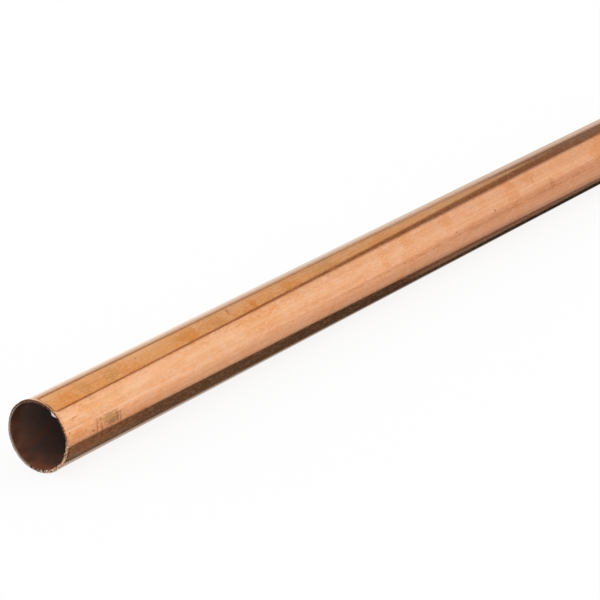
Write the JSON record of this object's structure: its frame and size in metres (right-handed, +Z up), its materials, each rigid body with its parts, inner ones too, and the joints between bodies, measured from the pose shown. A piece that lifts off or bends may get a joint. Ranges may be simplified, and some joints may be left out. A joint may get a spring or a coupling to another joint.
{
  "type": "straight copper tube",
  "caption": "Straight length of hard-drawn copper water tube with a thin wall and square-cut open ends, for pipework.",
  "frame": {"origin": "midway along the line on which the tube lies on a level floor, one outer radius below the tube's axis", "axes": "+X along the tube from the end that the picture shows towards the other end, +Z up"},
  "size_m": [0.6096, 0.0222, 0.0222],
  "materials": {
    "drawn_copper": "bright drawn copper with light lengthwise die lines, patchy light tarnish, a raw sawn rim and a dull brown bore"
  },
  "bodies": {
    "root": {"tube": "drawn_copper"}
  },
  "joints": []
}
